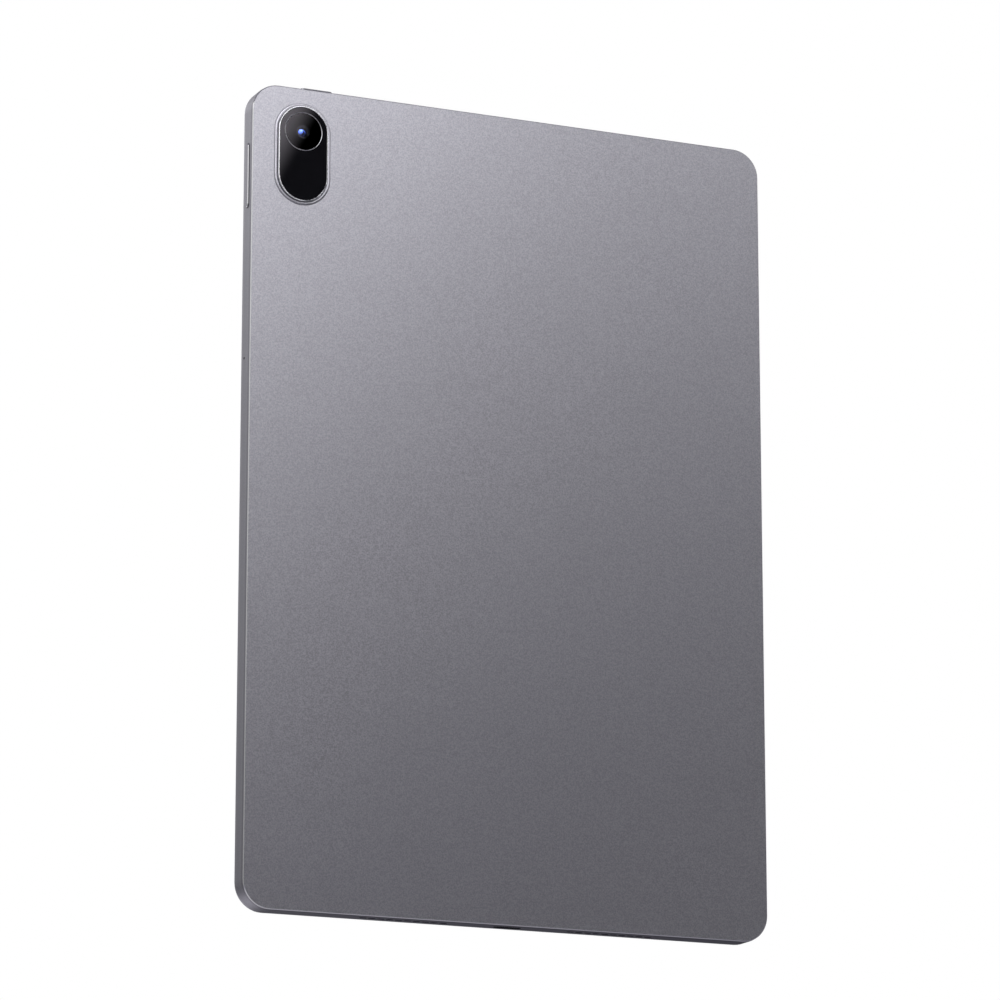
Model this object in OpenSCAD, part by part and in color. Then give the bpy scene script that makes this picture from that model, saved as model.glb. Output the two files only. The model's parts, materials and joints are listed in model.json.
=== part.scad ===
// Slim metal tablet computer, upright in portrait.
// X is the width, Y the thickness and Z the height. The screen faces -Y and the metal back faces +Y.
// The origin is the middle of the bottom edge. Seen from the screen side, +X is the right-hand side.

/* [Body] */
// Width of the body
body_w = 177; // [174:0.5:200]
// Height of the body
body_h = 261; // [255:0.5:300]
// Thickness from the glass to the back
body_t = 7.4; // [7.4:0.1:8.6]
// Radius of the four corners, seen from the front
corner_r = 8.8; // [8:0.2:14]
// Thickness of the metal side walls
side_wall = 1.5; // [1.3:0.1:1.6]
// Thickness of the metal back
back_wall = 0.9; // [0.8:0.05:1]
// Polished chamfer round the back edge
back_chamfer = 0.3; // [0.2:0.05:0.6]
// Width of the soft shoulder beside the chamfer
shoulder_depth = 1; // [0.6:0.1:1.2]
// Lean of the soft shoulder
shoulder_lean = 0.1; // [0.05:0.01:0.2]
// Small chamfer round the front edge of the metal
front_chamfer = 0.25; // [0.1:0.05:0.3]
// How far the glass stands in front of the metal
glass_proud = 0.3; // [0.1:0.05:0.4]

/* [Screen] */
// Thickness of the cover glass
glass_t = 0.6; // [0.5:0.05:0.7]
// Distance from the body's outline to the glass
glass_inset = 1.6; // [1.5:0.05:2]
// Distance from the body's side to the display module
side_border = 6.7; // [6.7:0.1:12]
// Distance from the body's top and bottom to the display module
end_border = 7.5; // [7.5:0.1:14]

/* [Camera] */
// Camera island's distance from the +X side
island_from_side = 16.9; // [14:0.1:20]
// Camera island's distance from the top
island_from_top = 21.7; // [20:0.1:26]
// Length of the straight stretch of the island's pill outline
island_straight = 14.5; // [12:0.1:16]
// Radius of the island's metal ring
ring_r = 8.35; // [8.2:0.05:8.5]
// Height of the ring above the back
ring_height = 1.05; // [0.9:0.05:1.3]
// Radius of the trim ring round the lens
trim_r = 6.3; // [5.8:0.05:6.4]

/* [Keys] */
// Power key's distance from the top
power_from_top = 29.9; // [28:0.1:50]
// Length of the power key
power_len = 21; // [12:0.5:24]
// Volume key's distance from the +X side
volume_from_side = 22.6; // [20:0.1:26]
// Length of the volume key
volume_len = 10.8; // [8:0.1:14]
// Width of both keys across the wall
key_w = 2.4; // [2:0.1:2.6]
// How far the power key stands out
power_proud = 0.45; // [0.3:0.05:0.6]
// How far the volume key stands out
volume_proud = 1.05; // [0.5:0.05:1.1]
// Distance of the keys from the middle of the thickness
key_y = 0.3; // [0:0.05:0.5]

/* [Openings] */
// Number of slots in each speaker grille
grille_slots = 10; // [4:1:11]
// Spacing of the speaker slots
grille_pitch = 2.95; // [2.8:0.05:3.1]
// Distance of each grille from the middle
grille_x = 34.7; // [32:0.1:36]
// Microphone's distance from the top
mic_from_top = 88.8; // [75:0.1:110]

/* [Hidden] */
$fn = 96;

// Planes across the thickness, from the screen to the back
glass_y = -body_t / 2;
glass_back_y = glass_y + glass_t;
rim_y = glass_y + glass_proud;
adhesive_t = 0.15;
shoulder_y = glass_back_y + adhesive_t;
step_y = shoulder_y + 0.6;
panel_w = body_w - 2 * side_border;
panel_h = body_h - 2 * end_border;
panel_t = 0.85;
backlight_y0 = glass_back_y + panel_t + 0.05;
backlight_y1 = backlight_y0 + 1.25;
plate_y0 = backlight_y1 + 0.2;
plate_y1 = plate_y0 + 0.35;
back_y = body_t / 2;
back_in_y = back_y - back_wall;

// Front camera and light sensor, in the border beside the screen
front_camera_x = body_w / 2 - 4.4;
front_camera_z = body_h / 2;
front_camera_w = 4.2;
front_camera_h = 5;
sensor_x = front_camera_x + 0.1;
sensor_z = front_camera_z - 12.5;

// Circuit boards, shared by the main board and the socket board
board_y0 = 0.2;
board_y1 = 0.8;
boss_r = 1.9;
screw_r = 0.6;
screw_hole_r = 0.65;
screw_reach = back_in_y - 0.5;
main_board_x0 = -60;
main_board_x1 = 58;
main_board_z1 = body_h - 29;
main_board_z0 = main_board_z1 - 32;
chip_z = main_board_z0 + 16;
chip_y = board_y1;
connector_z0 = main_board_z0 + 1.4;
main_screws = [for (x = [-54.5, -4, 52], z = [main_board_z0 + 4, main_board_z1 - 4]) [x, z]];
usb_board_z1 = 32;
usb_screws = [[-9.5, usb_board_z1 - 5], [9.5, usb_board_z1 - 5]];
all_screws = concat(main_screws, usb_screws);

// Flat cable from the screen, folded through a slot in the display frame
display_flex_x0 = -30;
display_flex_w = 20;
display_flex_fold_z = main_board_z0 - 3;

// The display frame's rim, skirt and key channel
rim_in = 0.9;
frame_gap = 0.1;
rim_w = 0.5;
skirt_out = 3.8;
skirt_in = 4.8;

// Camera island
island_x = body_w / 2 - island_from_side;
island_z = body_h - island_from_top;
lens_z = island_z + island_straight / 2;
lip_r = ring_r + 0.52;
recess_r = ring_r + 0.15;
recess_y = back_y - 0.4;
ledge_r = 7;
glass_pocket_r = ring_r - 0.4;
island_glass_y = recess_y + 0.6;
island_glass_r = glass_pocket_r - 0.07;
island_glass_top = back_y + ring_height - 0.15;

// Keys
key_gap = 0.16;
power_z = body_h - power_from_top;
volume_x = body_w / 2 - volume_from_side;
wall_x = body_w / 2;
wall_in_x = wall_x - side_wall;
top_in_z = body_h - side_wall;
power_flange_x = wall_in_x - 0.8;
power_strip_x = wall_x - 3.48;
volume_end_gap = 0.25;
volume_flange_z = top_in_z - 0.95;
volume_pivot_z = volume_flange_z - 0.25;
volume_strip_z = volume_pivot_z - 0.8;
volume_nib_x = 3.6;

// Openings
mic_z = body_h - mic_from_top;
mic_y = -0.8;
slot_len = 2.5;
slot_w = 1.2;
slot_y = 0.3;
usb_y = 0.2;
usb_w = 8.94;
usb_t = 3.2;
usb_wall = 0.3;
usb_mouth_z = 0.35;
usb_end_z = 7.35;

// Speakers
speaker_x0 = 15.5;
speaker_x1 = 54;
speaker_h = 21;
speaker_y1 = 2.6;
speaker_clear = side_wall + 0.25;

// Battery
cell_x0 = 3;
cell_w = body_w / 2 - 22.5;
cell_z0 = 58;
cell_h = main_board_z0 - 10 - cell_z0;
cell_y0 = -0.2;
cell_y1 = 2.5;
battery_board_z0 = cell_z0 + cell_h + 0.5;

// Antennas, in the corners of the -X side
antenna_x0 = corner_r - 4 - body_w / 2;
antenna_w = 22;
antenna_h = 5;
antenna_from_end = 3;

// Places a shape so that its local z points out of the back
module on_back(x, z, y) {
  translate([x, y, z]) rotate([90, 0, 180]) children();
}

// Places a shape so that its local z points out of the screen
module on_front(x, z, y) {
  translate([x, y, z]) rotate([90, 0, 0]) children();
}

// Places a shape so that its local z points out of the +X side and its local y points up
module on_side(y, z, x) {
  translate([x, y, z]) rotate([90, 0, 90]) children();
}

// Places a shape so that its local z points up and its local y runs along the width
module on_top(x, y, z) {
  translate([x, y, z]) rotate([0, 0, 90]) children();
}

// Rounded rectangle with true arcs
module rounded_rect(w, h, r) {
  square([w - 2 * r, h], center = true);
  square([w, h - 2 * r], center = true);
  for (sx = [-1, 1], sy = [-1, 1])
    translate([sx * (w / 2 - r), sy * (h / 2 - r)]) circle(r);
}

// Flat slab between two planes across the thickness, its outline drawn in X and Z
module slab(y0, y1) {
  translate([0, y1, 0]) rotate([90, 0, 0]) linear_extrude(y1 - y0) children();
}

// Slab with the body's outline, set in by a distance
module body_slab(inset, y0, y1) {
  translate([0, 0, body_h / 2])
    slab(y0, y1) rounded_rect(body_w - 2 * inset, body_h - 2 * inset, corner_r - inset);
}

// Rounded block given by its corners in X and Z
module block(x0, x1, z0, z1, y0, y1, r = 0.5) {
  translate([(x0 + x1) / 2, 0, (z0 + z1) / 2]) slab(y0, y1) rounded_rect(x1 - x0, z1 - z0, r);
}

// Outline [[r, z], ...] carried round a rectangle's four corners and sides
module rect_sweep(w, h, r, outline) {
  cx = w / 2 - r;
  cy = h / 2 - r;
  for (q = [0:3])
    translate([(q == 0 || q == 3) ? cx : -cx, q < 2 ? cy : -cy, 0])
      rotate([0, 0, 90 * q]) rotate_extrude(angle = 90) polygon(outline);
  for (s = [0, 180]) rotate([0, 0, s]) {
    translate([cx, cy, 0]) rotate([90, 0, 0]) linear_extrude(2 * cy) polygon(outline);
    translate([-cx, cy, 0]) rotate([90, 0, 90]) linear_extrude(2 * cx) polygon(outline);
  }
}

// A section drawn as [r, z] carried round a pill whose straight sides run along local y
module pill_sweep(straight) {
  for (s = [0, 180]) rotate([0, 0, s]) translate([0, straight / 2, 0]) {
    rotate_extrude(angle = 180) children();
    rotate([90, 0, 0]) linear_extrude(straight) children();
  }
}

// Solid pill from z0 to z1 with a bevelled top edge
module pill(straight, r, z0, z1, bevel = 0) {
  pill_sweep(straight)
    polygon([[0, z0], [r, z0], [r, z1 - bevel], [r - bevel, z1], [0, z1]]);
}

// Upright round bar whose axis runs across the thickness
module pin(x, z, r, y0, y1) {
  on_back(x, z, y0) cylinder(r = r, h = y1 - y0);
}

// Speaker slot, cut through the top or bottom wall
module grille_cut(side, z0, z1) {
  for (i = [0:grille_slots - 1])
    on_top(side * grille_x + (i - (grille_slots - 1) / 2) * grille_pitch, slot_y, 0)
      pill(slot_len - slot_w, slot_w / 2, z0, z1);
}

module body_outer() {
  c = back_chamfer;
  s = shoulder_lean;
  r = corner_r;
  outline = [
    [0, -back_y], [r - s - c, -back_y], [r - s, -back_y + c], [r, -back_y + c + shoulder_depth],
    [r, -rim_y - front_chamfer], [r - front_chamfer, -rim_y], [0, -rim_y]
  ];
  on_front(0, body_h / 2, 0) {
    rect_sweep(body_w, body_h, r, outline);
    translate([-(body_w / 2 - r), -(body_h / 2 - r), -back_y])
      cube([body_w - 2 * r, body_h - 2 * r, back_y - rim_y]);
  }
}

// Soft raised lip round the camera island, part of the metal back
module island_lip() {
  lip_bulge = 0.65;
  on_back(island_x, island_z, back_y)
    pill_sweep(island_straight) intersection() {
      translate([lip_r, -0.25]) circle(lip_bulge);
      translate([recess_r, -0.3]) square([2 * lip_bulge, 2 * lip_bulge]);
    }
}

module rear_housing() {
  color([0.62, 0.61, 0.65]) difference() {
    union() {
      difference() {
        body_outer();
        body_slab(side_wall, glass_y - 1, back_in_y);
        body_slab(rim_in, glass_y - 1, step_y);
      }
      island_lip();
      for (p = all_screws) pin(p[0], p[1], boss_r, board_y1, back_in_y + 0.2);
    }
    for (p = all_screws) pin(p[0], p[1], screw_hole_r, 0, screw_reach + 0.2);
    on_back(island_x, island_z, 0) {
      pill(island_straight, recess_r, recess_y, back_y + 0.2);
      pill(island_straight, ledge_r + 0.3, back_in_y - 0.5, recess_y + 0.1);
    }
    on_side(key_y, power_z, 0)
      pill(power_len - key_w, key_w / 2 + key_gap, wall_in_x - 0.5, wall_x + 1);
    on_top(volume_x, key_y, 0)
      pill(volume_len - key_w + 2 * (volume_end_gap - key_gap), key_w / 2 + key_gap,
           top_in_z - 0.5, body_h + 1);
    on_side(mic_y, mic_z, wall_in_x - 0.5) cylinder(d = 0.9, h = side_wall + 1);
    on_top(0, usb_y, 0) pill(usb_w - usb_t, usb_t / 2 + 0.08, -1, side_wall + 0.5);
    for (side = [-1, 1]) {
      grille_cut(side, -1, side_wall + 0.5);
      grille_cut(side, top_in_z - 0.5, body_h + 1);
    }
  }
}

// Plastic frame that holds the glass, with a plate behind the backlight
module mid_frame() {
  out = rim_in + frame_gap;
  usb_notch_w = 12;
  flex_slot_gap = 1;
  color([0.09, 0.09, 0.1]) difference() {
    union() {
      body_slab(out, rim_y + 0.05, step_y - 0.05);
      body_slab(skirt_out, step_y - 0.1, plate_y1);
    }
    body_slab(out + rim_w, glass_y - 1, shoulder_y);
    body_slab(skirt_in, glass_y - 1, plate_y0);
    translate([-usb_notch_w / 2, step_y - 0.1, -1]) cube([usb_notch_w, 5, 10]);
    translate([front_camera_x - 2.3, shoulder_y - 1, front_camera_z - 3.2]) cube([6, 5, 6.4]);
    translate([sensor_x - 1.2, shoulder_y - 1, sensor_z - 1.5]) cube([2.4, 1.5, 3]);
    translate([display_flex_x0 - flex_slot_gap, plate_y0 - 1, display_flex_fold_z - 2])
      cube([display_flex_w + 2 * flex_slot_gap, 3, 5]);
  }
}

module cover_glass() {
  w = body_w - 2 * glass_inset;
  h = body_h - 2 * glass_inset;
  r = corner_r - glass_inset;
  bevel = 0.2;
  color([0.04, 0.04, 0.05]) on_front(0, body_h / 2, 0) {
    rect_sweep(w, h, r, [
      [0, -glass_back_y], [r, -glass_back_y], [r, -glass_y - bevel], [r - bevel, -glass_y], [0, -glass_y]
    ]);
    translate([-(w / 2 - r), -(h / 2 - r), -glass_back_y]) cube([w - 2 * r, h - 2 * r, glass_t]);
  }
}

module display_adhesive() {
  color([0.15, 0.15, 0.15]) difference() {
    body_slab(glass_inset + 0.1, glass_back_y, shoulder_y);
    body_slab(glass_inset + 1.2, glass_back_y - 1, shoulder_y + 1);
  }
}

module display_panel() {
  color([0.16, 0.17, 0.2])
    block(-panel_w / 2, panel_w / 2, body_h / 2 - panel_h / 2, body_h / 2 + panel_h / 2,
          glass_back_y, glass_back_y + panel_t, 1.5);
}

module backlight_unit() {
  color([0.78, 0.79, 0.8])
    block(-panel_w / 2 + 0.2, panel_w / 2 - 0.2, body_h / 2 - panel_h / 2 + 0.2,
          body_h / 2 + panel_h / 2 - 0.2, backlight_y0, backlight_y1, 1.5);
}

module display_flex() {
  flex_t = 0.12;
  run = 47;
  tail = 9;
  front_y = backlight_y1 + 0.05;
  rear_y = -0.1;
  fold_z = display_flex_fold_z;
  color([0.72, 0.45, 0.15]) translate([display_flex_x0, 0, fold_z]) {
    translate([0, front_y, -run]) cube([display_flex_w, flex_t, run]);
    translate([0, front_y, -flex_t]) cube([display_flex_w, rear_y - front_y, flex_t]);
    translate([0, rear_y - flex_t, -flex_t]) cube([display_flex_w, flex_t, tail]);
  }
}

module camera_ring() {
  top = back_y + ring_height;
  color([0.8, 0.8, 0.83]) on_back(island_x, island_z, 0)
    pill_sweep(island_straight) polygon([
      [ledge_r, recess_y], [ring_r, recess_y], [ring_r, top - 0.15], [ring_r - 0.15, top],
      [glass_pocket_r + 0.1, top], [glass_pocket_r, top - 0.1], [glass_pocket_r, island_glass_y],
      [ledge_r, island_glass_y]
    ]);
}

module camera_glass() {
  color([0.03, 0.03, 0.04]) difference() {
    on_back(island_x, island_z, 0)
      pill(island_straight, island_glass_r, island_glass_y, island_glass_top, 0.1);
    pin(island_x, lens_z, trim_r + 0.05, back_y - 1, back_y + 3);
  }
}

module lens_trim_ring() {
  trim_in = trim_r - 0.2;
  top = island_glass_top + 0.1;
  color([0.5, 0.5, 0.53]) on_back(island_x, lens_z, 0)
    rotate_extrude() polygon([
      [trim_in, island_glass_y], [trim_r, island_glass_y], [trim_r, top - 0.08], [trim_r - 0.08, top],
      [trim_in, top - 0.08]
    ]);
}

module lens_cover() {
  color([0.05, 0.05, 0.08]) pin(island_x, lens_z, trim_r - 0.25, island_glass_y, island_glass_top);
}

module lens_baffle() {
  color([0.02, 0.02, 0.02]) on_back(island_x, lens_z, 0)
    rotate_extrude() polygon([
      [1.5, recess_y + 0.1], [ledge_r - 0.2, recess_y + 0.1], [ledge_r - 0.2, island_glass_y],
      [2.2, island_glass_y]
    ]);
}

module rear_camera_module() {
  side = 8.5;
  barrel_y = back_in_y - 0.6;
  color([0.1, 0.1, 0.11]) {
    difference() {
      union() {
        block(island_x - side / 2, island_x + side / 2, lens_z - side / 2, lens_z + side / 2,
              -0.25, barrel_y, 0.6);
        pin(island_x, lens_z, 3.3, barrel_y - 0.1, recess_y - 0.1);
      }
      pin(island_x, lens_z, 1.8, barrel_y, recess_y + 1);
    }
    block(island_x - 8, island_x - side / 2 + 0.2, lens_z - 13, lens_z - 2, 0.3, 0.5, 0.3);
  }
}

module rear_lens() {
  lens_r = 1.72;
  bulge = 2.9;
  top = recess_y + 0.05;
  color([0.1, 0.16, 0.4]) on_back(island_x, lens_z, 0)
    rotate_extrude() intersection() {
      translate([0, top - bulge]) circle(bulge);
      translate([0, back_in_y - 0.55]) square([lens_r, 3]);
    }
}

module front_camera_module() {
  lens_hole = 0.85;
  color([0.1, 0.1, 0.11]) difference() {
    union() {
      block(front_camera_x - front_camera_w / 2, front_camera_x + front_camera_w / 2,
            front_camera_z - front_camera_h / 2, front_camera_z + front_camera_h / 2,
            step_y, 0.6, 0.4);
      pin(front_camera_x, front_camera_z, 1.5, glass_back_y + 0.1, step_y + 0.1);
    }
    pin(front_camera_x, front_camera_z, lens_hole, glass_back_y - 1, glass_back_y + 0.7);
  }
}

module front_camera_lens() {
  color([0.1, 0.16, 0.4])
    pin(front_camera_x, front_camera_z, 0.8, glass_back_y + 0.15, glass_back_y + 0.65);
}

module light_sensor() {
  color([0.2, 0.2, 0.22])
    block(sensor_x - 1, sensor_x + 1, sensor_z - 0.8, sensor_z + 0.8,
          glass_back_y + 0.05, glass_back_y + 0.45, 0.2);
}

module power_key() {
  color([0.62, 0.61, 0.65]) on_side(key_y, power_z, 0) {
    pill(power_len - key_w, key_w / 2, power_flange_x, wall_x + power_proud, 0.25);
    pill(power_len - key_w + 0.8, key_w / 2 + 0.4, power_flange_x, power_flange_x + 0.65);
    translate([0, 0, power_flange_x - 0.25]) cylinder(r = 0.8, h = 0.3);
  }
}

module power_key_bracket() {
  color([0.7, 0.7, 0.72]) on_side(key_y, power_z, power_strip_x) pill(16, 1.4, -0.3, 0);
}

module power_switch() {
  color([0.8, 0.6, 0.25]) on_side(key_y, power_z, power_strip_x) {
    pill(12, 1.2, 0, 0.23);
    translate([0, 0, 0.18]) cylinder(r = 1.15, h = 0.25);
    translate([0, 0, 0.38]) cylinder(r1 = 1, r2 = 0.5, h = 0.2);
  }
}

module volume_key() {
  straight = volume_len - key_w;
  color([0.62, 0.61, 0.65]) {
    on_top(volume_x, key_y, 0) {
      pill(straight, key_w / 2, volume_flange_z, body_h + volume_proud, 0.25);
      pill(straight + 0.8, key_w / 2 + 0.4, volume_flange_z, volume_flange_z + 0.6);
    }
    for (s = [-1, 1])
      translate([volume_x + s * volume_nib_x, key_y, volume_flange_z - 0.25]) cylinder(r = 0.6, h = 0.3);
    translate([volume_x, key_y - 1, volume_pivot_z]) rotate([-90, 0, 0]) cylinder(r = 0.35, h = 2);
  }
}

module volume_switch() {
  color([0.8, 0.6, 0.25]) {
    on_top(volume_x, key_y, 0) pill(10, 1.2, volume_strip_z, volume_strip_z + 0.2);
    for (s = [-1, 1]) translate([volume_x + s * volume_nib_x, key_y, volume_strip_z]) {
      cylinder(r = 1.15, h = 0.45);
      translate([0, 0, 0.45]) cylinder(r1 = 1, r2 = 0.5, h = 0.15);
    }
    translate([volume_x, key_y, volume_strip_z]) cylinder(r = 0.7, h = 0.4);
  }
}

module volume_key_bracket() {
  color([0.7, 0.7, 0.72]) on_top(volume_x, key_y, 0)
    pill(12, 1.4, volume_strip_z - 0.25, volume_strip_z);
}

module usb_c_shell() {
  straight = usb_w - usb_t;
  color([0.75, 0.75, 0.77]) difference() {
    on_top(0, usb_y, 0) pill(straight, usb_t / 2, usb_mouth_z, usb_end_z);
    on_top(0, usb_y, 0) pill(straight, usb_t / 2 - usb_wall, usb_mouth_z - 1, usb_end_z - 0.45);
  }
}

module usb_c_tongue() {
  tongue_w = 6.7;
  tongue_t = 0.7;
  tip_z = usb_mouth_z + 0.75;
  base_z = usb_end_z - 1.7;
  color([0.08, 0.08, 0.09]) {
    on_top(0, usb_y, 0)
      pill(usb_w - usb_t, usb_t / 2 - usb_wall - 0.02, base_z, usb_end_z - 0.45);
    translate([-tongue_w / 2, usb_y - tongue_t / 2, tip_z])
      cube([tongue_w, tongue_t, base_z + 0.1 - tip_z]);
  }
}

module usb_board() {
  color([0.06, 0.2, 0.12]) difference() {
    block(-12.5, 12.5, 2.4, usb_board_z1, board_y0, board_y1, 1);
    translate([-usb_w / 2 - 0.1, board_y0 - 1, 0]) cube([usb_w + 0.2, 3, usb_end_z + 0.1]);
    for (p = usb_screws) pin(p[0], p[1], screw_hole_r + 0.1, board_y0 - 1, board_y1 + 1);
  }
}

// The board, with the connectors of the screen's and the battery's cables on its front
module main_board() {
  connector_h = 3;
  color([0.06, 0.2, 0.12]) difference() {
    union() {
      block(main_board_x0, main_board_x1, main_board_z0, main_board_z1, board_y0, board_y1, 2);
      for (x = [[-28, -12], [14, 24]])
        block(x[0], x[1], connector_z0, connector_z0 + connector_h, -0.1, board_y0, 0.3);
    }
    for (p = main_screws) pin(p[0], p[1], screw_hole_r + 0.1, board_y0 - 1, board_y1 + 1);
  }
}

// Square chip on the main board, given by its middle, width, height and thickness
module chip(x, w, h, t) {
  block(x - w / 2, x + w / 2, chip_z - h / 2, chip_z + h / 2, chip_y, chip_y + t, 0.4);
}

module processor_chip() {
  color([0.12, 0.12, 0.13]) chip(-20, 14, 14, 0.9);
}

module memory_chip() {
  color([0.14, 0.14, 0.15]) chip(-38.25, 11.5, 13, 0.8);
}

module power_chip() {
  color([0.13, 0.13, 0.14]) chip(13.5, 7, 7, 0.7);
}

module thermal_pad() {
  color([0.55, 0.6, 0.7]) translate([0, 0.9, 0]) chip(-20, 12, 12, 0.35);
}

// Folded-steel can over the chips of the main board
module shield_can(x0, x1) {
  can_h = 1.4;
  can_t = 0.15;
  z0 = chip_z - 9.5;
  z1 = chip_z + 9.5;
  difference() {
    block(x0, x1, z0, z1, chip_y, chip_y + can_h, 0.8);
    block(x0 + can_t, x1 - can_t, z0 + can_t, z1 - can_t, chip_y - 1, chip_y + can_h - can_t, 0.65);
  }
}

module processor_shield() {
  color([0.72, 0.72, 0.74]) shield_can(-48, -8);
}

module power_shield() {
  color([0.72, 0.72, 0.74]) shield_can(2, 36);
}

// Flat cable between the two boards, in the gap between the battery's cells
module board_flex() {
  color([0.72, 0.45, 0.15])
    block(-2.2, 2.2, usb_board_z1 - 3, main_board_z0 + 5, board_y0 - 0.15, board_y0, 0.4);
}

// Pouch cell on one side of the middle
module battery_cell(x0) {
  color([0.2, 0.2, 0.22]) block(x0, x0 + cell_w, cell_z0, cell_z0 + cell_h, cell_y0, cell_y1, 2);
}

module battery_cell_left() {
  battery_cell(-cell_x0 - cell_w);
}

module battery_cell_right() {
  battery_cell(cell_x0);
}

// Battery's protection boards and the cable that joins them to the main board
module battery_board() {
  z0 = battery_board_z0;
  color([0.85, 0.7, 0.2]) {
    for (s = [-1, 1])
      block(s * 21 - 16, s * 21 + 16, z0, z0 + 4, board_y0 + 0.1, board_y0 + 1.3, 0.4);
    block(-6, 6, z0 + 1, z0 + 3, board_y0 + 0.3, board_y0 + 0.5, 0.3);
    block(14.5, 23.5, z0 + 0.5, main_board_z0 + 4, -0.25, -0.1, 0.3);
    block(15, 23, z0 + 0.5, z0 + 3.5, -0.2, board_y0 + 0.2, 0.3);
  }
}

// Two strips of tape behind each cell
module battery_adhesive() {
  color([0.9, 0.9, 0.88]) for (side = [-1, 1], i = [0, 1])
    translate([side * (cell_x0 + cell_w / 2) - cell_w / 4 + i * cell_w / 2, 0, cell_z0 + cell_h / 2])
      slab(cell_y1, back_in_y) rounded_rect(10, cell_h - 12, 1);
}

module graphite_sheet() {
  color([0.2, 0.2, 0.21]) difference() {
    block(-66, 66, 96, main_board_z1 - 2, plate_y1, plate_y1 + 0.1, 3);
    translate([display_flex_x0 - 2, plate_y1 - 1, display_flex_fold_z - 3])
      cube([display_flex_w + 4, 3, 7]);
  }
}

// Closed speaker box with its driver, from z0 upwards on one side of the middle
module speaker(side, z0) {
  mid = side * (speaker_x0 + speaker_x1) / 2;
  half = (speaker_x1 - speaker_x0) / 2;
  color([0.07, 0.07, 0.08])
    block(mid - half, mid + half, z0, z0 + speaker_h, 0, speaker_y1, 1.5);
  color([0.3, 0.3, 0.32])
    translate([mid, 0, z0 + speaker_h / 2]) slab(-0.2, 0.1) rounded_rect(26, 13, 6.4);
}

module speaker_bottom_left() {
  speaker(-1, speaker_clear);
}

module speaker_bottom_right() {
  speaker(1, speaker_clear);
}

module speaker_top_left() {
  speaker(-1, body_h - speaker_clear - speaker_h);
}

module speaker_top_right() {
  speaker(1, body_h - speaker_clear - speaker_h);
}

module speaker_meshes() {
  mesh_t = 0.15;
  color([0.12, 0.12, 0.13])
    for (side = [-1, 1], z = [side_wall + 0.02, top_in_z - mesh_t - 0.02])
      translate([side * grille_x - 16, slot_y - 1, z]) cube([32, 2, mesh_t]);
}

module microphone() {
  color([0.75, 0.72, 0.6]) on_side(mic_y, mic_z, wall_in_x - 1.9) {
    linear_extrude(1.1) rounded_rect(2.4, 3.6, 0.3);
    translate([0, 0, -0.2]) linear_extrude(0.25) rounded_rect(2.6, 7, 0.4);
  }
}

module microphone_boot() {
  color([0.1, 0.1, 0.1]) difference() {
    on_side(mic_y, mic_z, wall_in_x - 0.78) linear_extrude(0.75) rounded_rect(2.4, 3.6, 0.8);
    on_side(mic_y, mic_z, wall_in_x - 2) cylinder(d = 0.9, h = 3);
  }
}

// Plastic carrier with its antenna foil, from z0 upwards
module wifi_antenna(z0) {
  x0 = antenna_x0;
  x1 = antenna_x0 + antenna_w;
  edge = 0.8;
  color([0.2, 0.2, 0.21]) block(x0, x1, z0, z0 + antenna_h, 0, 2.4, 0.6);
  color([0.8, 0.7, 0.35])
    block(x0 + edge, x1 - edge, z0 + edge, z0 + antenna_h - edge, 2.4, 2.5, 0.4);
}

module wifi_antenna_top() {
  wifi_antenna(body_h - antenna_from_end - antenna_h);
}

module wifi_antenna_bottom() {
  wifi_antenna(antenna_from_end);
}

// Thin coaxial lead from the main board, down the -X side, to the bottom antenna
module antenna_cable() {
  cable_r = 0.4;
  bend_r = 4;
  cable_y = 1.3;
  run_x = 12.5 - body_w / 2;
  plug_x = main_board_x0 + 2;
  start_z = main_board_z0 + 14;
  end_z = antenna_from_end + antenna_h;
  turn_x = run_x + bend_r;
  color([0.15, 0.15, 0.16]) {
    translate([run_x, cable_y, end_z]) cylinder(r = cable_r, h = start_z - bend_r - end_z);
    translate([turn_x, cable_y, start_z - bend_r]) rotate([90, 0, 0]) rotate([0, 0, 90])
      rotate_extrude(angle = 90) translate([bend_r, 0]) circle(cable_r);
    translate([turn_x, cable_y, start_z]) rotate([0, 90, 0]) cylinder(r = cable_r, h = plug_x - turn_x);
    translate([plug_x, board_y1, start_z]) rotate([-90, 0, 0]) cylinder(r = 1, h = 1);
  }
}

module board_screws() {
  head_r = 1.15;
  head_t = 0.3;
  color([0.6, 0.6, 0.62]) for (p = all_screws) difference() {
    union() {
      pin(p[0], p[1], head_r, board_y0 - head_t, board_y0);
      pin(p[0], p[1], screw_r, board_y0 - 0.1, screw_reach);
    }
    for (a = [0, 90]) translate([p[0], board_y0 - head_t, p[1]]) rotate([0, a, 0])
      cube([1.2, 0.3, 0.28], center = true);
  }
}

rear_housing();
mid_frame();
cover_glass();
display_adhesive();
display_panel();
backlight_unit();
display_flex();
camera_ring();
camera_glass();
lens_trim_ring();
lens_cover();
lens_baffle();
rear_camera_module();
rear_lens();
front_camera_module();
front_camera_lens();
light_sensor();
power_key();
power_switch();
power_key_bracket();
volume_key();
volume_switch();
volume_key_bracket();
usb_c_shell();
usb_c_tongue();
usb_board();
main_board();
processor_chip();
memory_chip();
power_chip();
thermal_pad();
processor_shield();
power_shield();
board_flex();
battery_cell_left();
battery_cell_right();
battery_board();
battery_adhesive();
graphite_sheet();
speaker_top_left();
speaker_top_right();
speaker_bottom_left();
speaker_bottom_right();
speaker_meshes();
microphone();
microphone_boot();
wifi_antenna_top();
wifi_antenna_bottom();
antenna_cable();
board_screws();
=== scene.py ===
"""Looks of a slim metal tablet computer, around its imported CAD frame."""

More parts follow.
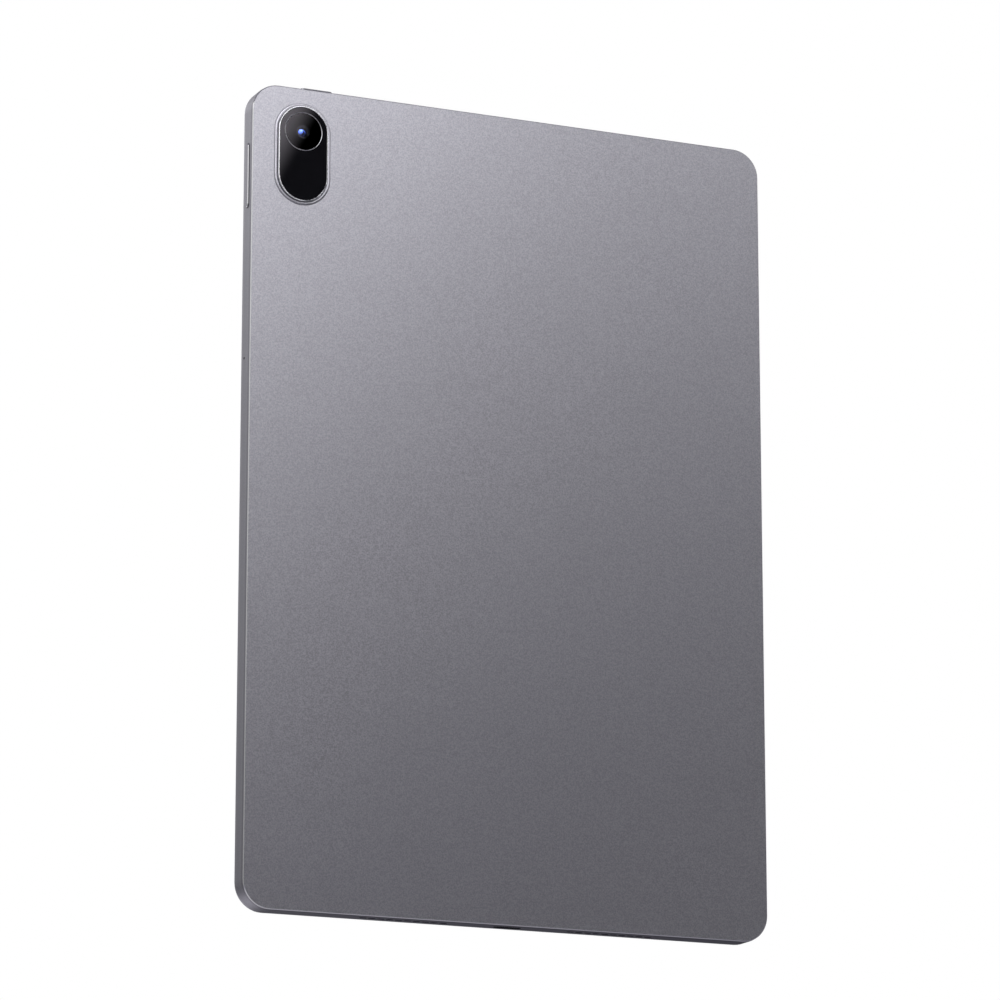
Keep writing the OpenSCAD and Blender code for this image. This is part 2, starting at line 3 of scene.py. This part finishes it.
import json
import math
import bpy
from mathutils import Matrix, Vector


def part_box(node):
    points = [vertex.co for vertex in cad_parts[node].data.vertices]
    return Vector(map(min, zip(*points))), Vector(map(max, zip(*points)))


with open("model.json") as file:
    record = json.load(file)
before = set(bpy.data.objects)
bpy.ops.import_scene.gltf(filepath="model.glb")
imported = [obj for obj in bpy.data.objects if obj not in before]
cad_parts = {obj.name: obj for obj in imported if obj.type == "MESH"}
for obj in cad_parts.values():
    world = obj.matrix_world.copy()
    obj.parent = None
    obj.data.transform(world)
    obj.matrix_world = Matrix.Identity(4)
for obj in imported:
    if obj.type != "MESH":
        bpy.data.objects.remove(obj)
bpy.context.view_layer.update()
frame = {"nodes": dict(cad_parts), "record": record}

MM = 0.001
BODY_LOW, BODY_HIGH = (Vector(corner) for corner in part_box("rear_housing"))
PANEL_LOW, PANEL_HIGH = (Vector(corner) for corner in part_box("display_panel"))
FRONT_CAMERA = sum((Vector(corner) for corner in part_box("front_camera_lens")), Vector()) / 2
REAR_CAMERA = sum((Vector(corner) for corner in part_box("lens_trim_ring")), Vector()) / 2

# The flat back's plane, as far behind the middle as the glass is before it, and the widths of the
# polished chamfer and of the soft shoulder beside it
BACK_Y = -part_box("cover_glass")[0][1]
CHAMFER = 0.3 * MM
SHOULDER = 1.0 * MM
GRAIN_DEPTH = 0.02 * MM

# The camera looks at the metal back, from its key side and from a little below
CAMERA_AZIMUTH = 156.05
CAMERA_ELEVATION = -13.87
CAMERA_DISTANCE = 1.509
CAMERA_LENS = 172.7
CAMERA_AIM = Vector((0.0022, 0.0, 0.1355))

FLOOR_Z = -0.3
FLOOR_REACH = 9.0

# Linear colours
STUDIO_WHITE = (1, 1, 1, 1)
STUDIO_DIM = (0.202, 0.198, 0.23)
METAL = (0.346, 0.341, 0.377)
BRIGHT_METAL = (0.86, 0.86, 0.88)


def direction(azimuth, elevation):
    """Unit vector at an azimuth, 0 in front of the screen and 90 on the +X side, and an elevation."""
    a, e = math.radians(azimuth), math.radians(elevation)
    return Vector((math.sin(a) * math.cos(e), -math.cos(a) * math.cos(e), math.sin(e)))


class Nodes:
    """Builds a node tree a few nodes at a time."""

    def __init__(self, tree):
        self.tree = tree

    def add(self, kind, **inputs):
        node = self.tree.nodes.new(kind)
        for label, value in inputs.items():
            node.inputs[label.replace("_", " ")].default_value = value
        return node

    def link(self, source, target):
        self.tree.links.new(source, target)

    def math(self, operation, a, b=None, c=None):
        """Math node on numbers or sockets."""
        node = self.tree.nodes.new("ShaderNodeMath")
        node.operation = operation
        for socket, value in zip(node.inputs, (a, b, c)):
            if value is None:
                continue
            if isinstance(value, (int, float)):
                socket.default_value = value
            else:
                self.link(value, socket)
        return node.outputs[0]

    def ramp(self, value, start, end, low=0.0, high=1.0):
        """Value carried from one range to another, smoothly."""
        node = self.tree.nodes.new("ShaderNodeMapRange")
        node.interpolation_type = "SMOOTHSTEP"
        self.link(value, node.inputs["Value"])
        for label, number in (("From Min", start), ("From Max", end), ("To Min", low), ("To Max", high)):
            node.inputs[label].default_value = number
        return node.outputs["Result"]

    def band(self, value, start, end, soft):
        """1 between two limits and 0 outside them."""
        rise = self.ramp(value, start - soft, start)
        return self.math("MULTIPLY", rise, self.ramp(value, end, end + soft, 1.0, 0.0))

    def distance(self, a, b, centre):
        """Distance from a centre in the plane of two coordinates."""
        squares = [self.math("POWER", self.math("SUBTRACT", v, c), 2.0) for v, c in zip((a, b), centre)]
        return self.math("SQRT", self.math("ADD", *squares))

    def mix(self, factor, a, b):
        """Mix of two colours or sockets."""
        node = self.tree.nodes.new("ShaderNodeMix")
        node.data_type = "RGBA"
        self.link(factor, node.inputs[0])
        for socket, value in zip((node.inputs[6], node.inputs[7]), (a, b)):
            if isinstance(value, tuple):
                socket.default_value = (*value[:3], 1)
            else:
                self.link(value, socket)
        return node.outputs[2]

    def place(self):
        """X, Y, Z of a point and of its normal, both in the part's own frame."""
        coordinates = self.tree.nodes.new("ShaderNodeTexCoord")
        point = self.tree.nodes.new("ShaderNodeSeparateXYZ")
        normal = self.tree.nodes.new("ShaderNodeSeparateXYZ")
        self.link(coordinates.outputs["Object"], point.inputs[0])
        self.link(coordinates.outputs["Normal"], normal.inputs[0])
        return point.outputs, normal.outputs

    def noise(self, scale):
        coordinates = self.tree.nodes.new("ShaderNodeTexCoord")
        node = self.add("ShaderNodeTexNoise", Scale=scale)
        self.link(coordinates.outputs["Object"], node.inputs["Vector"])
        return node.outputs["Fac"]

    def bump(self, shader, height, distance, strength):
        node = self.add("ShaderNodeBump", Distance=distance, Strength=strength)
        self.link(height, node.inputs["Height"])
        self.link(node.outputs["Normal"], shader.inputs["Normal"])


def new_material(name, **inputs):
    """Material with one Principled shader, whose constant inputs are given by their labels."""
    material = bpy.data.materials.new(name)
    material.use_nodes = True
    shader = material.node_tree.nodes["Principled BSDF"]
    for label, value in inputs.items():
        shader.inputs[label.replace("_", " ")].default_value = value
    return material, Nodes(material.node_tree), shader


def darker(colour, factor):
    return tuple(channel * factor for channel in colour)


def grained(name, colour, roughness=(0.4, 0.5), scale=2500, spread=0.06, relief=0.2, **inputs):
    """Finish with fine grain in its colour, roughness and surface."""
    material, nodes, shader = new_material(name, **inputs)
    grain = nodes.noise(scale)
    nodes.link(nodes.ramp(grain, 0.3, 0.7, *roughness), shader.inputs["Roughness"])
    nodes.link(
        nodes.mix(nodes.ramp(grain, 0.25, 0.75), darker(colour, 1 - spread), darker(colour, 1 + spread)),
        shader.inputs["Base Color"],
    )
    if relief:
        nodes.bump(shader, grain, GRAIN_DEPTH, relief)
    return material


def bead_blasted(nodes, shader, tint):
    """Fine grain of a blasted and anodised surface, in its colour, roughness and relief."""
    grain = nodes.noise(2600)
    nodes.bump(shader, grain, GRAIN_DEPTH, 0.25)
    rough = nodes.ramp(grain, 0.3, 0.7, 0.42, 0.5)
    return nodes.mix(nodes.ramp(grain, 0.25, 0.75), darker(tint, 0.84), darker(tint, 1.16)), rough


def anodised_aluminium():
    """Bead-blasted body with a bright machined chamfer, painted shade on the shoulder beside it, a painted
    highlight along the side walls' front edge and painted shade inside the openings.
    """
    material, nodes, shader = new_material("anodised_aluminium", Metallic=1.0)
    colour, rough = bead_blasted(nodes, shader, METAL)
    point, normal = nodes.place()
    chamfer_y = BACK_Y - CHAMFER
    chamfer = nodes.math(
        "MULTIPLY",
        nodes.band(point["Y"], chamfer_y + 0.05 * MM, BACK_Y - 0.02 * MM, 0.01 * MM),
        nodes.band(normal["Y"], 0.5, 0.9, 0.1),
    )
    # Painted shade: the shoulder beside the chamfer is darkened to 0.8 of the metal's colour.
    shoulder_shade = nodes.math(
        "MULTIPLY",
        nodes.band(point["Y"], chamfer_y - 0.8 * SHOULDER, chamfer_y, 0.15 * MM),
        nodes.band(normal["Y"], 0.04, 0.4, 0.03),
    )
    # Painted highlight: the side walls are lightened towards their front edge, by the screen, to 1.12 of the
    # metal's colour.
    front_edge_highlight = nodes.math(
        "MULTIPLY",
        nodes.ramp(point["Y"], -2.6 * MM, -1.6 * MM, 1.0, 0.0),
        nodes.ramp(nodes.math("ABSOLUTE", normal["Y"]), 0.1, 0.3, 1.0, 0.0),
    )
    # Painted shade: inside the slots and openings of the end and side walls the colour is darkened to 0.15 of
    # the metal's.
    end_opening_shade = nodes.math(
        "MULTIPLY",
        nodes.ramp(nodes.math("ABSOLUTE", normal["Z"]), 0.5, 0.7, 1.0, 0.0),
        nodes.band(point["X"], 0.8 * BODY_LOW.x, 0.8 * BODY_HIGH.x, 1 * MM),
    )
    side_opening_shade = nodes.math(
        "MULTIPLY",
        nodes.ramp(nodes.math("ABSOLUTE", normal["X"]), 0.5, 0.7, 1.0, 0.0),
        nodes.band(point["Z"], 0.1 * BODY_HIGH.z, 0.9 * BODY_HIGH.z, 1 * MM),
    )
    opening_shade = nodes.math(
        "MULTIPLY",
        nodes.math("MAXIMUM", end_opening_shade, side_opening_shade),
        nodes.band(point["Y"], -2 * MM, 2 * MM, 0.1 * MM),
    )
    colour = nodes.mix(opening_shade, colour, darker(METAL, 0.15))
    colour = nodes.mix(shoulder_shade, colour, darker(METAL, 0.8))
    colour = nodes.mix(front_edge_highlight, colour, darker(METAL, 1.12))
    nodes.link(nodes.mix(chamfer, colour, BRIGHT_METAL), shader.inputs["Base Color"])
    smoother = nodes.math("MULTIPLY_ADD", chamfer, -0.65, 1.0)
    nodes.link(nodes.math("MULTIPLY", rough, smoother), shader.inputs["Roughness"])
    return material


def key_aluminium():
    """Blasted key with a polished bevel and painted shade on its sides."""
    material, nodes, shader = new_material("key_aluminium", Metallic=1.0)
    colour, rough = bead_blasted(nodes, shader, METAL)
    normal = nodes.place()[1]
    outwards = nodes.math("MAXIMUM", normal["X"], normal["Z"])
    bevel = nodes.band(outwards, 0.5, 0.9, 0.1)
    # Painted shade: faces of the key that don't point outwards, its sides, are darkened to 0.3 of the metal's
    # colour.
    side = nodes.ramp(outwards, 0.3, 0.5, 1.0, 0.0)
    colour = nodes.mix(side, colour, darker(METAL, 0.3))
    nodes.link(nodes.mix(bevel, colour, BRIGHT_METAL), shader.inputs["Base Color"])
    smoother = nodes.math("MULTIPLY_ADD", bevel, -0.5, 1.0)
    nodes.link(nodes.math("MULTIPLY", rough, smoother), shader.inputs["Roughness"])
    return material


def screen_glass():
    """Black glass, a shade lighter over the display, with the front camera's window in its border."""
    material, nodes, shader = new_material("screen_glass", Roughness=0.015, IOR=1.5)
    point = nodes.place()[0]
    window = nodes.math(
        "MULTIPLY",
        nodes.band(point["X"], PANEL_LOW.x + 1 * MM, PANEL_HIGH.x - 1 * MM, 0.1 * MM),
        nodes.band(point["Z"], PANEL_LOW.z + 1 * MM, PANEL_HIGH.z - 1 * MM, 0.1 * MM),
    )
    around = nodes.distance(point["X"], point["Z"], (FRONT_CAMERA.x, FRONT_CAMERA.z))
    colour = nodes.mix(window, (0.003, 0.003, 0.003), (0.013, 0.013, 0.015))
    colour = nodes.mix(nodes.ramp(around, 1.5 * MM, 1.6 * MM, 1.0, 0.0), colour, (0.02, 0.02, 0.023))
    colour = nodes.mix(nodes.ramp(around, 0.8 * MM, 0.9 * MM, 1.0, 0.0), colour, (0.01, 0.025, 0.09))
    nodes.link(colour, shader.inputs["Base Color"])
    return material


def metal(name, colour, roughness, spread=0.02, scale=900, **inputs):
    return grained(name, colour, roughness, scale, spread, Metallic=1.0, **inputs)


def glass(name, colour, roughness, spread, **inputs):
    """Smooth glass, whose reflection leans a little to violet."""
    return grained(name, colour, roughness, 400, spread, 0.0, Specular_Tint=(0.96, 0.9, 1.0, 1), **inputs)


def clear_glass():
    return glass("clear_glass", (0.9, 0.92, 1.0), (0.0, 0.004), 0.02, Transmission_Weight=1.0, IOR=1.5)


def coated_lens():
    """Blue anti-reflection coating under a polished surface."""
    coat = {"Coat_Weight": 1.0, "Coat_Roughness": 0.02, "Coat_IOR": 1.9}
    return grained("coated_lens", (0.02, 0.1, 0.6), (0.05, 0.08), 400, 0.2, 0.0, Metallic=1.0, **coat)


FINISHES = {
    "anodised_aluminium": anodised_aluminium,
    "key_aluminium": key_aluminium,
    "polished_metal": lambda: metal("polished_metal", (0.8, 0.8, 0.83), (0.1, 0.16)),
    "satin_metal": lambda: metal("satin_metal", (0.6, 0.6, 0.63), (0.25, 0.35)),
    "screen_glass": screen_glass,
    "black_glass": lambda: glass("black_glass", (0.004, 0.004, 0.005), (0.008, 0.012), 0.1),
    "clear_glass": clear_glass,
    "coated_lens": coated_lens,
    "black_plastic": lambda: grained("black_plastic", (0.02, 0.02, 0.022)),
    "black_foam": lambda: grained("black_foam", (0.006, 0.006, 0.006), (0.8, 0.95)),
    "display_film": lambda: grained("display_film", (0.03, 0.03, 0.035)),
    "backlight_film": lambda: grained("backlight_film", (0.8, 0.8, 0.8)),
    "bright_steel": lambda: metal("bright_steel", (0.6, 0.6, 0.62), (0.25, 0.35), 0.06, 2500),
    "flex_circuit": lambda: grained("flex_circuit", (0.45, 0.2, 0.05)),
    "circuit_board": lambda: grained("circuit_board", (0.01, 0.06, 0.03)),
    "chip_package": lambda: grained("chip_package", (0.03, 0.03, 0.033)),
    "thermal_gel": lambda: grained("thermal_gel", (0.35, 0.42, 0.55)),
    "battery_pouch": lambda: grained("battery_pouch", (0.04, 0.04, 0.045)),
    "adhesive_tape": lambda: grained("adhesive_tape", (0.7, 0.7, 0.66)),
    "graphite": lambda: grained("graphite", (0.04, 0.04, 0.042)),
    "black_mesh": lambda: grained("black_mesh", (0.01, 0.01, 0.01)),
}


def dress_cad_nodes():
    """Gives every CAD node the finish of its material slot."""
    made = {slot: make() for slot, make in FINISHES.items()}
    for part in frame["record"]["subparts"]:
        for slot in frame["nodes"][part["node"]].material_slots:
            slot.material = made[part["material_slot"]]


def add_camera():
    data = bpy.data.cameras.new("camera")
    data.lens = CAMERA_LENS
    data.sensor_width = 36
    data.clip_end = 50
    camera = bpy.data.objects.new("camera", data)
    out = direction(CAMERA_AZIMUTH, CAMERA_ELEVATION)
    camera.location = CAMERA_AIM + out * CAMERA_DISTANCE
    camera.rotation_euler = (-out).to_track_quat("-Z", "Y").to_euler()
    bpy.context.scene.collection.objects.link(camera)
    bpy.context.scene.camera = camera


def stage_sheet(name, corners, material):
    mesh = bpy.data.meshes.new(name)
    mesh.from_pydata(corners, [], [(0, 1, 2, 3)])
    sheet = bpy.data.objects.new(name, mesh)
    mesh.materials.append(material)
    bpy.context.scene.collection.objects.link(sheet)
    return sheet


def glowing(name, build):
    """Light source's material. Build works out the strength from a place on the sheet."""
    material = bpy.data.materials.new(name)
    material.use_nodes = True
    material.node_tree.nodes.clear()
    nodes = Nodes(material.node_tree)
    glow = nodes.add("ShaderNodeEmission", Color=STUDIO_WHITE)
    output = nodes.add("ShaderNodeOutputMaterial")
    nodes.link(build(nodes, nodes.place()[0]), glow.inputs["Strength"])
    nodes.link(glow.outputs[0], output.inputs["Surface"])
    return material


def softbox(name, corners, strength):
    """Glowing sheet that lights and is mirrored, but isn't seen and casts no shadow."""
    sheet = stage_sheet(name, corners, glowing(name + "_glow", strength))
    sheet.visible_camera = False
    sheet.visible_shadow = False


def across(y, left, right, bottom, top):
    """Corners of an upright sheet that is parallel to the tablet's back."""
    return [(left, y, bottom), (right, y, bottom), (right, y, top), (left, y, top)]


def above(nodes, height, start):
    """How far a height is above a start, and 0 below it."""
    return nodes.math("MAXIMUM", nodes.math("SUBTRACT", height, start), 0.0)


def back_softbox():
    """Tall graded softbox on the key side of the back, whose slanted edge the camera glass mirrors."""

    def strength(nodes, point):
        slant_x = nodes.math("MULTIPLY", point["X"], 0.896)
        slant_z = nodes.math("MULTIPLY", point["Z"], 0.444)
        inside = nodes.ramp(nodes.math("ADD", slant_x, slant_z), 0.074, 0.087)
        height = nodes.math("MINIMUM", above(nodes, point["Z"], 0.2), 0.42)
        upper = nodes.math("MULTIPLY", nodes.math("POWER", height, 2.0), 30.0)
        middle = nodes.math("MULTIPLY", nodes.band(point["Z"], 0.23, 0.5, 0.15), 1.12)
        return nodes.math("MULTIPLY", inside, nodes.math("ADD", upper, middle))

    softbox("back_softbox", across(0.5, -0.6, 0.525, 0.0, 1.0), strength)


def fill_softbox():
    """Weak softbox beside the tall one, which lifts the far side of the back."""

    def strength(nodes, point):
        lower = nodes.ramp(point["Z"], 0.05, 0.25, 0.31, 0.12)
        graded = nodes.math("MULTIPLY_ADD", above(nodes, point["Z"], 0.3), 4.8, lower)
        return nodes.math("MULTIPLY", nodes.ramp(point["X"], -0.35, -0.2, 1.0, 0.0), graded)

    softbox("fill_softbox", across(0.5, -1.1, -0.2, -0.2, 1.0), strength)


def side_softbox():
    """Softbox beside the keys, brighter above, which the chamfer and the keys' bevels mirror."""
    x, front, back, bottom, top = 0.8, -0.1, 0.9, -0.1, 0.8

    def strength(nodes, point):
        return nodes.math("MULTIPLY_ADD", above(nodes, point["Z"], 0.18), 1.5, 0.3)

    corners = [(x, front, bottom), (x, back, bottom), (x, back, top), (x, front, top)]
    softbox("side_softbox", corners, strength)


def front_softbox():
    """Graded softbox beyond the screen's edge, which the side wall mirrors and the screen doesn't."""

    def strength(nodes, point):
        graded = nodes.math("MAXIMUM", nodes.math("MULTIPLY_ADD", point["Z"], 1.1, 0.25), 0.0)
        graded = nodes.math("ADD", graded, nodes.ramp(point["Z"], 0.38, 0.6, 0.0, 0.9))
        return nodes.math("MULTIPLY", graded, nodes.ramp(point["X"], 0.13, 0.28))

    softbox("front_softbox", across(-0.6, 0.13, 0.9, -0.1, 0.9), strength)


def lens_lights():
    """Two small round lamps that glint in the rear lens."""
    for name, towards in (("left", (0.351, 0.825, 0.405)), ("right", (-0.828, 0.411, 0.34))):
        data = bpy.data.lights.new(name + "_lamp", "AREA")
        data.shape = "DISK"
        data.size = 0.08
        data.energy = 0.5
        lamp = bpy.data.objects.new(name + "_lamp", data)
        out = Vector(towards).normalized()
        lamp.location = REAR_CAMERA + out
        lamp.rotation_euler = out.to_track_quat("Z", "Y").to_euler()
        lamp.visible_camera = False
        bpy.context.scene.collection.objects.link(lamp)


def seen_and_mirrored(nodes, seen, mirrored):
    """One look for the camera, and another for the light that reaches the tablet."""
    path = nodes.add("ShaderNodeLightPath")
    mix = nodes.add("ShaderNodeMixShader")
    nodes.link(path.outputs["Is Camera Ray"], mix.inputs[0])
    nodes.link(mirrored, mix.inputs[1])
    nodes.link(seen, mix.inputs[2])
    return mix.outputs[0]


def add_world():
    """White backdrop for the camera, and a dim even studio for everything else."""
    world = bpy.data.worlds.new("studio")
    bpy.context.scene.world = world
    world.use_nodes = True
    nodes = Nodes(world.node_tree)
    lighting = nodes.add("ShaderNodeBackground", Color=(*STUDIO_DIM, 1), Strength=1.0)
    backdrop = nodes.add("ShaderNodeBackground", Color=STUDIO_WHITE, Strength=1.0)
    looks = seen_and_mirrored(nodes, backdrop.outputs[0], lighting.outputs[0])
    nodes.link(looks, world.node_tree.nodes["World Output"].inputs["Surface"])


def floor_patch(nodes, point, centre, full, faded):
    """1 round a place on the floor, fading to 0."""
    return nodes.ramp(nodes.distance(point["X"], point["Y"], centre), full, faded, 1.0, 0.0)


def floor_paper():
    """Pale paper that fades into the white backdrop. For the light that reaches the tablet the paper glows
    instead, with painted pools of light behind the tablet and under one corner and a painted dark patch under
    its bottom, which the tablet's edges mirror.
    """
    material = bpy.data.materials.new("floor_paper")
    material.use_nodes = True
    material.node_tree.nodes.clear()
    nodes = Nodes(material.node_tree)
    point = nodes.place()[0]
    grain = nodes.noise(60)
    paper = nodes.add("ShaderNodeBsdfDiffuse", Roughness=1.0)
    nodes.link(nodes.mix(grain, (0.5, 0.5, 0.5), (0.52, 0.52, 0.52)), paper.inputs["Color"])
    haze = nodes.add("ShaderNodeEmission", Color=STUDIO_WHITE, Strength=0.72)
    sum_of_both = nodes.add("ShaderNodeAddShader")
    nodes.link(paper.outputs[0], sum_of_both.inputs[0])
    nodes.link(haze.outputs[0], sum_of_both.inputs[1])
    white = nodes.add("ShaderNodeEmission", Color=STUDIO_WHITE, Strength=1.0)
    seen = nodes.add("ShaderNodeMixShader")
    far = nodes.ramp(nodes.distance(point["X"], point["Y"], (0, 0)), 0.8, 4.0)
    nodes.link(far, seen.inputs[0])
    nodes.link(sum_of_both.outputs[0], seen.inputs[1])
    nodes.link(white.outputs[0], seen.inputs[2])
    # Painted light: what the tablet mirrors of the floor is a glow, lighter in pools behind the tablet and
    # under a corner, and darker under its bottom.
    mirrored = nodes.add("ShaderNodeEmission")
    painted_glow_behind = nodes.math("MULTIPLY", nodes.ramp(point["Y"], -0.1, 0.2), nodes.ramp(point["X"], -0.35, 0.1))
    painted_glow_behind = nodes.math("MULTIPLY", painted_glow_behind, floor_patch(nodes, point, (0, 0), 0.7, 1.6))
    painted_dark_under_bottom = floor_patch(nodes, point, (-0.6, -1.3), 0.8, 1.2)
    painted_glow_under_corner = floor_patch(nodes, point, (0.35, -0.55), 0.15, 0.5)
    tone = nodes.mix(painted_dark_under_bottom, STUDIO_DIM, darker(STUDIO_DIM, 0.1))
    tone = nodes.mix(painted_glow_behind, tone, (0.5, 0.49, 0.52))
    nodes.link(nodes.mix(painted_glow_under_corner, tone, (1.15, 1.13, 1.18)), mirrored.inputs["Color"])
    output = nodes.add("ShaderNodeOutputMaterial")
    nodes.link(seen_and_mirrored(nodes, seen.outputs[0], mirrored.outputs[0]), output.inputs["Surface"])
    return material


def add_floor():
    turns = ((-1, -1), (1, -1), (1, 1), (-1, 1))
    corners = [(x * FLOOR_REACH, y * FLOOR_REACH, FLOOR_Z) for x, y in turns]
    stage_sheet("floor", corners, floor_paper())


dress_cad_nodes()
add_camera()
add_floor()
add_world()
back_softbox()
fill_softbox()
side_softbox()
front_softbox()
lens_lights()
bpy.context.scene.view_settings.view_transform = "Standard"
